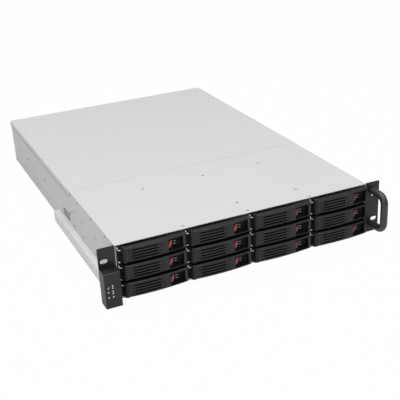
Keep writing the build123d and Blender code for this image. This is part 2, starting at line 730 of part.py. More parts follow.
def make_standoffs():
    """Hexagonal posts on the floor for the main board."""
    posts = []
    for across in BOARD_HOLES_X:
        for back in BOARD_HOLES_Y:
            x = PORT_RIGHT - BOARD_EDGE - across
            y = REAR_INNER - BOARD_REAR_GAP - back
            hexagon = RegularPolygon(STANDOFF_FLATS / 2, 6, major_radius=False)
            posts.append(Pos(x, y, SHEET) * extrude(hexagon, STANDOFF_HEIGHT))
    return posts


def main():
    """Build every piece and write it."""
    os.makedirs("parts", exist_ok=True)
    save("base_pan", Compound(children=[make_base_pan()] + make_standoffs()))
    save("front_top_panel", make_front_top_panel())
    save("rear_cover", make_rear_cover())
    save("cover_thumbscrews", Compound(children=make_thumbscrews()))
    save("rear_panel", make_rear_panel())
    save("slot_blanks", Compound(children=make_slot_blanks()))
    save("supply_bay", make_supply_bay())
    left_ear = make_left_ear()
    save("left_ear", left_ear)
    save("right_ear", mirrored(left_ear))
    save("ear_handle", make_ear_handle())
    save("control_box", make_control_box())
    power, reset = button_places()
    save("power_button", make_button(*power))
    save("reset_button", make_button(*reset))
    save("indicator_lenses", Compound(children=make_lenses()))
    save("cable_duct", make_cable_duct())
    save("drive_cage", Compound(children=make_drive_cage()))
    save("backplane", make_backplane())
    save("drive_connectors", Compound(children=make_connectors()))
    save("fan_bracket", make_fan_bracket())
    save("fan_frames", Compound(children=[make_fan_frame(x) for x in fan_places()]))
    for index, x in enumerate(fan_places()):
        save(f"fan_rotor_{index + 1}", make_fan_rotor(x))
    blank = bezel_blank()
    tray = [make_tray_body(), make_tray_front(blank)] + make_clip()
    lever = make_lever(blank)
    latch = make_latch()
    for number in range(COLUMNS * ROWS):
        save(f"drive_tray_{number + 1}", Compound(children=[in_cell(piece, number) for piece in tray]))
        save(f"tray_lever_{number + 1}", in_cell(lever, number))
        save(f"tray_latch_{number + 1}", in_cell(latch, number))


if __name__ == "__main__":
    main()
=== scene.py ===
"""Finishes, small parts and a studio for a two-unit rackmount server chassis."""
import math

import bpy
from bpy.props import FloatProperty, FloatVectorProperty, IntProperty, PointerProperty
from mathutils import Matrix, Vector


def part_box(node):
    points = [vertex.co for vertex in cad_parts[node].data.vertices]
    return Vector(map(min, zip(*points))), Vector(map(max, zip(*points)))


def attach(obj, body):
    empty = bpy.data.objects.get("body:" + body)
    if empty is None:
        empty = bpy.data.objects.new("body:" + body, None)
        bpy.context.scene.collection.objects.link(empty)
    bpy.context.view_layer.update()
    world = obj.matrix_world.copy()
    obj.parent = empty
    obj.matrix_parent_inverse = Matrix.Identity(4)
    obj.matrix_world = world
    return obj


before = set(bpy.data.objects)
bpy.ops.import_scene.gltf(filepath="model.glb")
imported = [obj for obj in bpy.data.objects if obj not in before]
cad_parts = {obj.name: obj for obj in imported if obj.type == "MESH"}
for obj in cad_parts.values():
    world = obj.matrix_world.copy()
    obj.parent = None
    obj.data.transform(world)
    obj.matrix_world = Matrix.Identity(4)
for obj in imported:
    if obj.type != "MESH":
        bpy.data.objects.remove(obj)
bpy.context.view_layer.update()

bl_info = {
    "name": "Rackmount chassis finishes",
    "version": (1, 0, 0),
    "blender": (4, 5, 0),
    "location": "View3D > Sidebar > Chassis",
    "description": "Finishes, small parts and a studio for a rackmount server chassis",
    "category": "Object",
}

MM = 0.001

# The chassis and its drive cells, read from the frame in metres
COLUMNS = 4
ROWS = 3
CELLS = COLUMNS * ROWS
PAN_LOW, PAN_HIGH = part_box("base_pan")
ROOF_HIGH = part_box("front_top_panel")[1]
COVER_LOW, COVER_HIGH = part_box("rear_cover")
REAR_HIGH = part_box("rear_panel")[1]
SHEET = 1.0 * MM
CELL_LEFT = PAN_LOW.x + SHEET
CELL_FLOOR = PAN_LOW.z + SHEET
COLUMN_PITCH = (PAN_HIGH.x - PAN_LOW.x - 2 * SHEET) / COLUMNS
ROW_PITCH = (ROOF_HIGH.z - PAN_LOW.z - 2 * SHEET) / ROWS

# Places in a drive cell, in millimetres from its left edge, its floor and the plane of the ears
CLIP_ACROSS = (0.0, 6.8)
CLIP_BACK = (-3.4, -1.56)
RECESS_ACROSS = (77.0, 101.25)
RECESS_UP = (5.2, 23.9)
RECESS_BACK = (-8.6, -8.4)
LEFT_END = (10.4, 11.0)
POST_START = (101.3, 101.6)
TRAY_SHEET_BACK = (0.02, 0.1)
# The cage is near black from its front back to here, a painted shade for the shadowed gaps between
# trays
CAGE_SHADE_BACK = (14.0, 18.0)
WINDOW_ACROSS = 90.3
WINDOWS_UP = (10.6, 14.8)
WINDOW_FRONT = -1.5

# Places on the outside, in millimetres: x and y on the roof and the cover, y and z on the walls,
# x and z at the rear
ROOF_SCREWS = ((-105, 169.5), (3, 169.5), (109.5, 169.5), (3, 42), (107, 39), (-104.5, 9),
               (3, 7.5), (111, 3.5))
COVER_PINS = ((210.5, 586), (207.5, 555))
SIDE_RIVETS = ((562, 15.5), (464, 14), (379, 14), (216, 27.5), (167, 27.5), (100, 28), (164, 57),
               (98.5, 56.5), (213, 55), (43, 83.5), (111, 83.5), (179.5, 83.5))
RAIL_HEIGHT = 45
RAIL_HOLES_FROM_REAR = (66, 127, 251, 417)
COVER_FLANGE = 9.5
# The dark strip just under the cover's flange is a painted shadow of the flange
SHADOW_STRIP_FROM_SEAM = 1.5
SHADOW_STRIP_THICKNESS = 1.1
SHADOW_STRIP_PROUD = 0.55
VENT_FROM_SEAM = 33.75
VENT_HEIGHTS = (29, 36.5)
VENT_MESH = (0.9, 39.9, 3.9)
VENT_SUNK = 0.4
REAR_SCREWS = ((-207, 9), (-207, 42), (118, 9), (118, 42), (118, 64))
CARD_SCREWS = tuple((-70.91 - 20.32 * index, 81) for index in range(7))

# Power sign, in millimetres: ring and its wire, gap in the ring, and stroke
RING_RADIUS = 1.25
WIRE_RADIUS = 0.17
GAP_HALF = 0.62
GAP_START = 0.95
STROKE = (0.3, 1.3, 0.3)
STROKE_UP = 0.95

# Directions, how closely a face has to follow one, and the turn from one screw to the next
UP = (0, 0, 1)
BACK = (0, 1, 0)
FRONT = (0, -1, 0)
LEFT = (-1, 0, 0)
RIGHT = (1, 0, 0)
ALIKE = 0.9
ROOF_SCREW_TURN = 0.7
REAR_SCREW_TURN = 0.3

# Studio, in metres: places and sizes of the lamps, where they point, and the floor
KEY_PLACE = (-0.1, 0.05, 2.6)
KEY_SIZE = 3.2
FILL_PLACE = (-1.6, -1.8, 1.0)
FILL_SIZE = 1.6
LAMP_AIM = (0, 0.25, 0)
FLOOR_RADIUS = 12
FLOOR_TONE = (0.6, 0.6, 0.6)
FLOOR_WHITE = 0.985
FLOOR_IN_GLOSS = 0.55
SKY_RISE = (0.05, 0.75)
SKY_SIDE = (-0.9, 0.1)
SENSOR_WIDTH = 36

# Shares and tones of the finishes
ZINC_METALLIC = 0.08
MATT = 0.85
BRIGHT_STEEL = (0.95, 0.95, 0.95)
# Range across which the latches turn to their darker painted shade at the right
RIGHT_SHADE_BLEND = (0.0, 20 * MM)

# Parts on the back of the backplane, in millimetres: name, size, and places across and up
BOARD_PARTS = (
    ("board_chips", (12, 1.6, 12), ((-107, 50), (0, 50), (107, 50), (-107, 30))),
    ("board_headers", (22, 9, 10), ((-107, 12), (0, 12), (107, 12), (107, 66))),
)


def colour(name, text, value):
    """A colour that the sidebar shows."""
    return FloatVectorProperty(name=name, description=text, subtype="COLOR", size=3, min=0, max=1,
                               default=value)


def length(name, text, value):
    """A length that the sidebar shows, in metres."""
    return FloatProperty(name=name, description=text, unit="LENGTH", subtype="DISTANCE",
                         default=value)


def angle(name, text, degrees):
    """An angle that the sidebar shows."""
    return FloatProperty(name=name, description=text, subtype="ANGLE",
                         default=math.radians(degrees))


def number(name, text, value):
    """A plain number that the sidebar shows."""
    return FloatProperty(name=name, description=text, default=value)


class ChassisColours(bpy.types.PropertyGroup):
    """Colours of the finishes."""
    zinc_light: colour("Zinc, light", "Lighter tone of the rolled sheet", (0.735, 0.735, 0.735))
    zinc_dark: colour("Zinc, dark", "Darker tone of the rolled sheet", (0.71, 0.71, 0.71))
    powder: colour("Powder coat", "Black coat of the rack ears", (0.010, 0.010, 0.010))
    plastic: colour("Tray plastic", "Moulded plastic of the tray fronts", (0.0075, 0.0075, 0.008))
    # Lighter than the moulding as a painted highlight on the rounded post
    post: colour("Tray post", "Post at the right of a tray front", (0.019, 0.019, 0.020))
    # Near black painted shade for the recesses of the tray fronts
    recess_shade: colour("Recess shade", "Matt black in the recesses of the tray fronts", (0.001, 0.001, 0.001))
    latch: colour("Latch", "Release latch in the top row", (0.70, 0.095, 0.06))
    latch_low: colour("Latch, low rows", "Release latch in the rows below", (0.62, 0.085, 0.13))
    # Darker latch colour at the right is painted shade
    latch_right_shade: colour("Latch, right half, painted shade", "Release latch in the two columns at the right",
                        (0.34, 0.045, 0.095))
    board: colour("Circuit board", "Solder mask of the backplane", (0.012, 0.085, 0.035))


class ChassisSizes(bpy.types.PropertyGroup):
    """Sizes of the small parts."""
    screw_head: length("Screw head", "Diameter of a flush panel screw", 5.2 * MM)
    rivet_head: length("Rivet head", "Diameter of a flush rivet in a side wall", 3.4 * MM)
    head_height: length("Head height", "How far a flush head stands proud", 0.18 * MM)
    rail_head: length("Rail screw", "Diameter of a screw in a slide rail hole", 4.8 * MM)
    # Height of the dark strip that paints the flange's shadow
    shadow_strip_height: length("Shadow strip", "Height of the dark seal under the cover's flange", 1.3 * MM)
    window_width: length("Window width", "Width of an indicator window on a tray", 4.2 * MM)
    window_height: length("Window height", "Height of an indicator window on a tray", 1.0 * MM)
    head_sides: IntProperty(name="Head sides", description="Facets round a screw head",
                            default=28, min=8)


class StudioSettings(bpy.types.PropertyGroup):
    """Camera, lamps and sky."""
    camera_place: FloatVectorProperty(name="Camera", description="Place of the camera", size=3,
                                      subtype="TRANSLATION", default=(-0.515, -0.998, 0.617))
    turn: angle("Turn", "How far the camera looks to the right of straight back", 23.63)
    tilt: angle("Tilt", "How far the camera looks down", 24.2)
    roll: angle("Roll", "How far the camera leans", -3.0)
    focal: number("Focal length", "Lens of the camera in millimetres", 73.5)
    sky: number("Sky", "Strength of the light from all round", 0.51)
    horizon: number("Horizon", "Share of the sky's strength at the horizon", 0.12)
    left: number("Left side", "Share of the sky's strength at the left", 0.40)
    key: number("Key lamp", "Power of the large lamp overhead in watts", 66.0)
    fill: number("Fill lamp", "Power of the lamp at the front left in watts", 13.0)


def colours():
    """The colours of the open scene."""
    return bpy.context.scene.chassis_colours


def sizes():
    """The sizes of the open scene."""
    return bpy.context.scene.chassis_sizes


def add_node(tree, kind, settings=(), **inputs):
    """A shader node. An underscore in an input's name is a space, and a value may be an output."""
    made = tree.nodes.new("ShaderNode" + kind)
    for name, value in dict(settings).items():
        setattr(made, name, value)
    for name, value in inputs.items():
        feed(tree, made.inputs[name.replace("_", " ")], value)
    return made


def feed(tree, socket, value):
    """Links an output to a socket, or sets the socket's value."""
    if isinstance(value, bpy.types.NodeSocket):
        tree.links.new(value, socket)
    else:
        socket.default_value = value


def maths(tree, operation, *values, clamp=False):
    """The result of a Math node."""
    made = tree.nodes.new("ShaderNodeMath")
    made.operation = operation
    made.use_clamp = clamp
    for socket, value in zip(made.inputs, values):
        feed(tree, socket, value)
    return made.outputs[0]


def opaque(tone):
    """A colour with its alpha, or an output as it is."""
    return tone if isinstance(tone, bpy.types.NodeSocket) else (*tone, 1)


def mix_colour(tree, share, first, second):
    """A blend of two colours. A Mix node's sockets 6, 7 and 2 are its colours and their blend."""
    made = tree.nodes.new("ShaderNodeMix")
    made.data_type = "RGBA"
    feed(tree, made.inputs[0], share)
    feed(tree, made.inputs[6], opaque(first))
    feed(tree, made.inputs[7], opaque(second))
    return made.outputs[2]


def blend_value(tree, share, first, second):
    """A blend of two numbers. A Mix node's sockets 2 and 3 are its numbers."""
    made = add_node(tree, "Mix", Factor=share)
    feed(tree, made.inputs[2], first)
    feed(tree, made.inputs[3], second)
    return made.outputs[0]


def spread(tree, value, low, high, to_low=0.0, to_high=1.0):
    """A value mapped smoothly from one range to another."""
    made = add_node(tree, "MapRange", {"interpolation_type": "SMOOTHSTEP"}, Value=value,
                    From_Min=low, From_Max=high, To_Min=to_low, To_Max=to_high)
    return made.outputs[0]


def inside(tree, value, limits, soft=0.05):
    """1 where a value lies between two limits, else 0."""
    low, high = limits
    return maths(tree, "MULTIPLY", spread(tree, value, low - soft, low + soft),
                 spread(tree, value, high - soft, high + soft, 1.0, 0.0))


def new_group(name, inputs, outputs):
    """An empty shader node group with named sockets, and its two end nodes."""
    group = bpy.data.node_groups.new(name, "ShaderNodeTree")
    for label, kind, value in inputs:
        socket = group.interface.new_socket(label, in_out="INPUT", socket_type=kind)
        if value is not None:
            socket.default_value = value
    for label, kind in outputs:
        group.interface.new_socket(label, in_out="OUTPUT", socket_type=kind)
    given = group.nodes.new("NodeGroupInput").outputs
    return group, given, group.nodes.new("NodeGroupOutput").inputs


def rolled_sheet_group():
    """Tone and relief of rolled, zinc coated sheet: fine lines over clouds and faint crystals."""
    group, given, result = new_group(
        "Rolled sheet",
        [("Vector", "NodeSocketVector", None), ("Crystal Size", "NodeSocketFloat", 0.006),
         ("Line Width", "NodeSocketFloat", 0.0012)],
        [("Tone", "NodeSocketFloat"), ("Height", "NodeSocketFloat")])
    crystals = add_node(group, "TexVoronoi", Vector=given["Vector"],
                        Scale=maths(group, "DIVIDE", 1.0, given["Crystal Size"]))
    facets = add_node(group, "SeparateColor", Color=crystals.outputs["Color"])
    drawn = add_node(group, "Mapping", Vector=given["Vector"], Scale=(1.0, 0.02, 1.0))
    lines = add_node(group, "TexNoise", Vector=drawn.outputs[0], Detail=3.0,
                     Scale=maths(group, "DIVIDE", 1.0, given["Line Width"]))
    clouds = add_node(group, "TexNoise", Vector=given["Vector"], Scale=9.0, Detail=2.0)
    both = maths(group, "MULTIPLY_ADD", facets.outputs[0], 0.3,
                 maths(group, "MULTIPLY", lines.outputs[0], 0.3))
    feed(group, result["Tone"], maths(group, "MULTIPLY_ADD", clouds.outputs[0], 0.4, both))
    feed(group, result["Height"], lines.outputs[0])
    return group


def fine_grain_group():
    """Relief and tone of powder coat and spark-eroded moulds: fine pimples and slow blotches."""
    group, given, result = new_group(
        "Fine grain",
        [("Vector", "NodeSocketVector", None), ("Grain Size", "NodeSocketFloat", 0.0006),
         ("Blotch Size", "NodeSocketFloat", 0.02)],
        [("Tone", "NodeSocketFloat"), ("Height", "NodeSocketFloat")])
    pimples = add_node(group, "TexNoise", Vector=given["Vector"], Detail=2.0,
                       Scale=maths(group, "DIVIDE", 1.0, given["Grain Size"]))
    blotches = add_node(group, "TexNoise", Vector=given["Vector"], Detail=3.0,
                        Scale=maths(group, "DIVIDE", 1.0, given["Blotch Size"]))
    feed(group, result["Tone"], blotches.outputs[0])
    feed(group, result["Height"], pimples.outputs[0])
    return group


def handling_group():
    """Mask of faint rub marks that handling leaves on a surface."""
    group, given, result = new_group(
        "Handling marks",
        [("Vector", "NodeSocketVector", None), ("Spread", "NodeSocketFloat", 0.03)],
        [("Mask", "NodeSocketFloat")])
    patches = add_node(group, "TexNoise", Vector=given["Vector"], Detail=4.0, Distortion=0.6,
                       Scale=maths(group, "DIVIDE", 1.0, given["Spread"]))
    drawn = add_node(group, "Mapping", Vector=given["Vector"], Scale=(0.12, 1.0, 1.0))
    streaks = add_node(group, "TexNoise", Vector=drawn.outputs[0], Detail=2.0, Scale=220.0)
    feed(group, result["Mask"], maths(group, "MULTIPLY",
                                      spread(group, patches.outputs[0], 0.5, 0.72),
                                      spread(group, streaks.outputs[0], 0.4, 0.65)))
    return group


def cell_group():
    """Place of a point in its drive cell, in millimetres from the cell's left edge and floor."""
    group, given, result = new_group(
        "Drive cell place", [("Vector", "NodeSocketVector", None)],
        [("Across", "NodeSocketFloat"), ("Up", "NodeSocketFloat"), ("Back", "NodeSocketFloat")])
    place = add_node(group, "SeparateXYZ", Vector=given["Vector"])
    for axis, start, pitch, name in (("X", CELL_LEFT, COLUMN_PITCH, "Across"),
                                     ("Z", CELL_FLOOR, ROW_PITCH, "Up")):
        share = maths(group, "DIVIDE", maths(group, "SUBTRACT", place.outputs[axis], start), pitch)
        feed(group, result[name],
             maths(group, "MULTIPLY", maths(group, "FRACT", share), pitch / MM))
    feed(group, result["Back"], maths(group, "DIVIDE", place.outputs["Y"], MM))
    return group


GROUPS = {"Rolled sheet": rolled_sheet_group, "Fine grain": fine_grain_group,
          "Handling marks": handling_group, "Drive cell place": cell_group}


def use_group(tree, name, **inputs):
    """Outputs of a shared effect placed in a material, which is built the first time it is used."""
    group = bpy.data.node_groups.get(name) or GROUPS[name]()
    made = tree.nodes.new("ShaderNodeGroup")
    made.node_tree = group
    for label, value in inputs.items():
        feed(tree, made.inputs[label.replace("_", " ")], value)
    return made.outputs


def new_finish(name, metallic, roughness, **extra):
    """A material with one Principled shader, its tree, its sockets and its Object coordinates."""
    material = bpy.data.materials.new(name)
    material.use_nodes = True
    tree = material.node_tree
    surface = tree.nodes["Principled BSDF"]
    surface.inputs["Metallic"].default_value = metallic
    surface.inputs["Roughness"].default_value = roughness
    for label, value in extra.items():
        surface.inputs[label.replace("_", " ")].default_value = value
    place = tree.nodes.new("ShaderNodeTexCoord").outputs["Object"]
    return material, tree, surface.inputs, place


def relief(tree, sockets, height, strength, depth):
    """Raises a height pattern on the surface."""
    bump = add_node(tree, "Bump", Height=height, Strength=strength, Distance=depth)
    feed(tree, sockets["Normal"], bump.outputs[0])


def zinc_tone(tree, place, painted_light_lift=1.0):
    """Colour, roughness and relief of bare zinc coated sheet, its colours raised where asked as
    painted light.
    """
    light, dark = ([channel * painted_light_lift for channel in tone]
                   for tone in (colours().zinc_light, colours().zinc_dark))
    sheet = use_group(tree, "Rolled sheet", Vector=place)
    marks = use_group(tree, "Handling marks", Vector=place, Spread=0.09)
    tone = mix_colour(tree, sheet["Tone"], dark, light)
    worn = maths(tree, "MULTIPLY_ADD", marks["Mask"], 0.08, 0.36)
    shine = maths(tree, "MULTIPLY_ADD", sheet["Tone"], 0.10, worn)
    return tone, shine, sheet["Height"]


def zinc_sheet(name="Zinc coated sheet", painted_light_lift=1.0):
    """Bare zinc coated sheet steel, lighter where its colours are lifted, which is painted light.
    """
    material, tree, sockets, place = new_finish(name, ZINC_METALLIC, 0.4)
    tone, shine, height = zinc_tone(tree, place, painted_light_lift)
    feed(tree, sockets["Base Color"], tone)
    feed(tree, sockets["Roughness"], shine)
    relief(tree, sockets, height, 0.15, 0.02 * MM)
    return material


def cage_sheet():
    """Zinc coated sheet whose front edges are dark with painted shade, standing in for the shadow
    in the gaps between the trays.
    """
    material, tree, sockets, place = new_finish("Cage sheet", 0.0, 0.4)
    cell = use_group(tree, "Drive cell place", Vector=place)
    bare = spread(tree, cell["Back"], *CAGE_SHADE_BACK)
    tone, _, height = zinc_tone(tree, place)
    # Near black at the front of the cage is painted shade, not paint on the steel
    feed(tree, sockets["Base Color"], mix_colour(tree, bare, (0.004, 0.004, 0.004), tone))
    feed(tree, sockets["Roughness"], spread(tree, bare, 0.0, 1.0, 0.7, 0.42))
    feed(tree, sockets["Metallic"], maths(tree, "MULTIPLY", bare, ZINC_METALLIC))
    relief(tree, sockets, height, 0.15, 0.02 * MM)
    return material


def black_tone(tree, place, base, grain, contrast):
    """Colour, roughness and relief of a black coat or moulding."""
    texture = use_group(tree, "Fine grain", Vector=place, Grain_Size=grain)
    marks = use_group(tree, "Handling marks", Vector=place, Spread=0.04)
    lighter = [min(1.0, channel * contrast + 0.002) for channel in base]
    share = maths(tree, "MULTIPLY_ADD", marks["Mask"], 0.5,
                  maths(tree, "MULTIPLY", texture["Tone"], 0.6), clamp=True)
    shine = maths(tree, "MULTIPLY_ADD", marks["Mask"], -0.10,
                  maths(tree, "MULTIPLY_ADD", texture["Tone"], 0.10, 0.38))
    return mix_colour(tree, share, base, lighter), shine, texture["Height"]


def black_coat(name, base, grain, relief_depth=0.03, coat=0.0):
    """A black painted or moulded finish with its own grain."""
    material, tree, sockets, place = new_finish(name, 0.0, 0.45, Coat_Weight=coat,
                                                Coat_Roughness=0.3)
    tone, shine, height = black_tone(tree, place, base, grain, 1.6)
    feed(tree, sockets["Base Color"], tone)
    feed(tree, sockets["Roughness"], shine)
    relief(tree, sockets, height, 0.35, relief_depth * MM)
    return material


def tray_finish():
    """Black moulded front with painted shade in its finger recess and at its left end, zinc coated
    sheet behind it and a bright steel clip at its left.
    """
    material, tree, sockets, place = new_finish("Drive tray", 0.0, 0.45)
    cell = use_group(tree, "Drive cell place", Vector=place)
    clip = maths(tree, "MULTIPLY", inside(tree, cell["Across"], CLIP_ACROSS),
                 inside(tree, cell["Back"], CLIP_BACK))
    steel = maths(tree, "MAXIMUM", spread(tree, cell["Back"], *TRAY_SHEET_BACK), clip)
    recess = maths(tree, "MULTIPLY", inside(tree, cell["Across"], RECESS_ACROSS),
                   inside(tree, cell["Up"], RECESS_UP))
    left = spread(tree, cell["Across"], *LEFT_END, 1.0, 0.0)
    # Near black in the finger recess and at the left end is painted shade, standing in for the
    # shadow there
    deep = maths(tree, "MULTIPLY", maths(tree, "MAXIMUM", recess, left),
                 spread(tree, cell["Back"], *RECESS_BACK))
    tone, shine, _ = zinc_tone(tree, place)
    black, soft_shine, height = black_tone(tree, place, colours().plastic, 0.0007, 1.5)
    # The lighter post at the right of each tray is a painted highlight on its rounded edge
    black = mix_colour(tree, spread(tree, cell["Across"], *POST_START), black, colours().post)
    black = mix_colour(tree, deep, black, colours().recess_shade)
    tone = mix_colour(tree, clip, tone, BRIGHT_STEEL)
    moulded_shine = blend_value(tree, deep, soft_shine, MATT)
    feed(tree, sockets["Base Color"], mix_colour(tree, steel, black, tone))
    feed(tree, sockets["Roughness"], blend_value(tree, steel, moulded_shine, shine))
    feed(tree, sockets["Metallic"], maths(tree, "MULTIPLY", steel, ZINC_METALLIC))
    relief(tree, sockets, height, 0.3, 0.03 * MM)
    return material


def latch_finish():
    """Glossy plastic, warmer in the top row of trays and darker in the right half, where the darker
    colour is painted shade for latches lying in shadow.
    """
    material, tree, sockets, place = new_finish("Latch plastic", 0.0, 0.3)
    texture = use_group(tree, "Fine grain", Vector=place, Grain_Size=0.0004, Blotch_Size=0.006)
    where = add_node(tree, "SeparateXYZ", Vector=place).outputs
    top_row = CELL_FLOOR + (ROWS - 1) * ROW_PITCH
    base = mix_colour(tree, spread(tree, where["Z"], top_row - MM, top_row + MM),
                      colours().latch_low, colours().latch)
    # The darker colour in the two right columns is painted shade
    base = mix_colour(tree, spread(tree, where["X"], *RIGHT_SHADE_BLEND), base, colours().latch_right_shade)
    deep = add_node(tree, "HueSaturation", Value=0.7, Color=base).outputs[0]
    feed(tree, sockets["Base Color"], mix_colour(tree, texture["Tone"], deep, base))
    feed(tree, sockets["Roughness"], maths(tree, "MULTIPLY_ADD", texture["Tone"], 0.15, 0.24))
    relief(tree, sockets, texture["Height"], 0.2, 0.01 * MM)
    return material


def lens_finish(name, base, glow):
    """Frosted, faintly lit window."""
    material, tree, sockets, place = new_finish(name, 0.0, 0.25, Emission_Strength=glow)
    texture = use_group(tree, "Fine grain", Vector=place, Grain_Size=0.0003, Blotch_Size=0.0015)
    shade = [channel * 0.8 for channel in base]
    for label in ("Base Color", "Emission Color"):
        feed(tree, sockets[label], mix_colour(tree, texture["Tone"], shade, base))
    relief(tree, sockets, texture["Height"], 0.2, 0.01 * MM)
    return material


def hardware_finish(name, base, metallic, roughness):
    """Plated or blackened steel of screws and rivets."""
    material, tree, sockets, place = new_finish(name, metallic, roughness)
    texture = use_group(tree, "Fine grain", Vector=place, Grain_Size=0.0003, Blotch_Size=0.002)
    shade = [channel * 0.7 for channel in base]
    feed(tree, sockets["Base Color"], mix_colour(tree, texture["Tone"], shade, base))
    feed(tree, sockets["Roughness"],
         maths(tree, "MULTIPLY_ADD", texture["Tone"], 0.2, roughness - 0.1))
    relief(tree, sockets, texture["Height"], 0.25, 0.01 * MM)
    return material


def board_finish():
    """Solder mask with copper traces under it and pale pads on a grid."""
    material, tree, sockets, place = new_finish("Circuit board", 0.0, 0.35, Coat_Weight=0.3,
                                                Coat_Roughness=0.15)
    traces = add_node(tree, "TexBrick", Vector=place, Scale=90.0, Mortar_Size=0.02)
    fill = add_node(tree, "TexNoise", Vector=place, Scale=30.0, Detail=1.0)
    base = colours().board
    bright = [min(1.0, channel * 1.9) for channel in base]
    lines = maths(tree, "MULTIPLY", traces.outputs["Fac"], spread(tree, fill.outputs[0], 0.42, 0.5))
    pads = add_node(tree, "TexVoronoi", Vector=place, Scale=260.0, Randomness=0.0)
    dots = maths(tree, "MULTIPLY", spread(tree, pads.outputs["Distance"], 0.16, 0.2, 1.0, 0.0),
                 spread(tree, fill.outputs[0], 0.55, 0.6))
    masked = mix_colour(tree, lines, base, bright)
    feed(tree, sockets["Base Color"], mix_colour(tree, dots, masked, (0.62, 0.55, 0.35)))
    feed(tree, sockets["Metallic"], maths(tree, "MULTIPLY", dots, 0.8))
    relief(tree, sockets, lines, 0.3, 0.03 * MM)
    return material


def blade_finish():
    """Glass-filled black plastic with fine flow lines."""
    material, tree, sockets, place = new_finish("Fan plastic", 0.0, 0.5)
    flow = add_node(tree, "TexWave", Vector=place, Scale=60.0, Distortion=6.0, Detail=2.0)
    texture = use_group(tree, "Fine grain", Vector=place, Grain_Size=0.0005)
    tone = mix_colour(tree, flow.outputs["Fac"], (0.016, 0.016, 0.018), (0.026, 0.026, 0.028))
    feed(tree, sockets["Base Color"], tone)
    feed(tree, sockets["Roughness"], maths(tree, "MULTIPLY_ADD", texture["Tone"], 0.2, 0.38))
    relief(tree, sockets, texture["Height"], 0.3, 0.02 * MM)
    return material


FINISHES = {
    "zinc": zinc_sheet,
    # The duct's zinc is made a quarter lighter, painted light for its lit top and side
    "bright": lambda: zinc_sheet("Zinc sheet with painted light", 1.25),
    "cage": cage_sheet,
    "powder": lambda: black_coat("Black powder coat", colours().powder, 0.0009, relief_depth=0.05),
    "handle": lambda: black_coat("Handle coat", (0.028, 0.028, 0.028), 0.0012, relief_depth=0.02,
                                 coat=0.35),
    "moulding": lambda: black_coat("Black moulding", colours().plastic, 0.0007),
    "nylon": lambda: black_coat("Connector plastic", (0.012, 0.012, 0.012), 0.0004),
    "tray": tray_finish,
    "latch": latch_finish,
    "lens": lambda: lens_finish("Indicator lens", (0.8, 0.82, 0.84), 0.25),
    "window": lambda: lens_finish("Tray window", (0.42, 0.42, 0.44), 0.12),
    "button": lambda: black_coat("Button plastic", (0.03, 0.03, 0.032), 0.0005),
    # The printed power sign glows faintly, a painted glow, though it is no lamp
    "mark": lambda: lens_finish("Printed mark with painted glow", (0.75, 0.76, 0.78), 0.1),
    "chip": lambda: black_coat("Chip resin", (0.02, 0.02, 0.022), 0.0003),
    "plated": lambda: hardware_finish("Plated steel", (0.62, 0.61, 0.58), 0.9, 0.35),
    "dull": lambda: hardware_finish("Dull steel", (0.52, 0.52, 0.52), 0.5, 0.5),
    "dark": lambda: hardware_finish("Dark steel", (0.10, 0.10, 0.10), 0.4, 0.5),
    "blackened": lambda: hardware_finish("Blackened steel", (0.02, 0.02, 0.022), 0.3, 0.45),
    # Also used for the black strip under the cover's flange, which is a painted shadow
    "rubber": lambda: black_coat("Black rubber", (0.008, 0.008, 0.008), 0.0004),
    "board": board_finish,
    "fan": blade_finish,
}


def finish(name):
    """A finish by its short name, made once."""
    made = bpy.data.materials.get(finish.made.get(name, ""))
    if made is None:
        made = FINISHES[name]()
        finish.made[name] = made.name
    return made


finish.made = {}


def dress(node_names, finish_name):
    """Gives CAD nodes a finish."""
    for name in node_names:
        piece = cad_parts[name]
        if not piece.material_slots:
            piece.data.materials.append(finish(finish_name))
        for slot in piece.material_slots:
            slot.material = finish(finish_name)


def numbered(name, count):
    """Names of repeated nodes."""
    return [f"{name}_{i + 1}" for i in range(count)]


def start_piece():
    """Leaves nothing selected, so that a new primitive is the only piece worked on."""
    bpy.ops.object.select_all(action="DESELECT")


def select_faces(piece, test):
    """Selects the faces whose middle and normal pass a test, and opens the piece in edit mode."""
    bpy.ops.object.mode_set(mode="EDIT")
    bpy.ops.mesh.select_all(action="DESELECT")
    bpy.ops.mesh.select_mode(type="FACE")
    bpy.ops.object.mode_set(mode="OBJECT")
    for face in piece.data.polygons:
        face.select = test(face.center, face.normal)
    bpy.ops.object.mode_set(mode="EDIT")


def join_copies(master, name, places):
    """Copies a piece to places, each a matrix, and joins the copies. The master goes."""
    copies = []
    for place in places:
        copy = master.copy()
        copy.data = master.data.copy()
        copy.data.transform(place)
        bpy.context.collection.objects.link(copy)
        copies.append(copy)
    bpy.data.objects.remove(master)
    start_piece()
    for copy in copies:
        copy.select_set(True)
    bpy.context.view_layer.objects.active = copies[0]
    bpy.ops.object.join()
    joined = bpy.context.object
    joined.name = name
    return joined


def settle(piece, body, finish_name):
    """Gives a finished piece its finish and the body that it rides on."""
    piece.data.materials.clear()
    piece.data.materials.append(finish(finish_name))
    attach(piece, body)
    return piece


def cross_cutter(across, width, depth):
    """Two crossed bars that cut a driver recess."""
    start_piece()
    bpy.ops.mesh.primitive_cube_add(size=1, scale=(across, width, depth))
    first = bpy.context.object
    bpy.ops.object.transform_apply(location=False, rotation=False, scale=True)
    bpy.ops.object.mode_set(mode="EDIT")
    bpy.ops.mesh.select_all(action="SELECT")
    bpy.ops.mesh.duplicate()
    bpy.ops.transform.rotate(value=math.pi / 2, orient_axis="Z", center_override=(0, 0, 0))
    bpy.ops.object.mode_set(mode="OBJECT")
    return first


